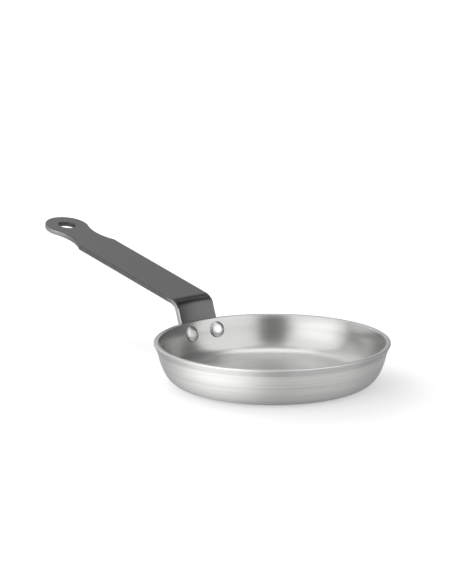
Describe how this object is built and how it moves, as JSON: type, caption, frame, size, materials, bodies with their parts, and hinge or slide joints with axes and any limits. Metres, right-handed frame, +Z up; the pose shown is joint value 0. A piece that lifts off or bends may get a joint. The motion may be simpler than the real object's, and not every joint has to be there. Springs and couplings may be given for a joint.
{
  "type": "pancake pan",
  "caption": "Small round pancake pan with a flared lip and a riveted flat strip handle that rises to a round hanging eye.",
  "frame": {"origin": "centre of the pan's flat underside, on the surface that it stands on", "axes": "+Z up, +X along the handle from the pan's centre to the hanging eye, +Y to the left seen from the pan's centre towards the handle"},
  "size_m": [0.245, 0.12, 0.0548],
  "materials": {
    "pan_steel": "satin",
    "handle_coated_steel": "satin",
    "rivet_steel": "polished"
  },
  "bodies": {
    "root": {"pan_body": "pan_steel", "handle": "handle_coated_steel", "rivet_left": "rivet_steel", "rivet_right": "rivet_steel"}
  },
  "joints": []
}
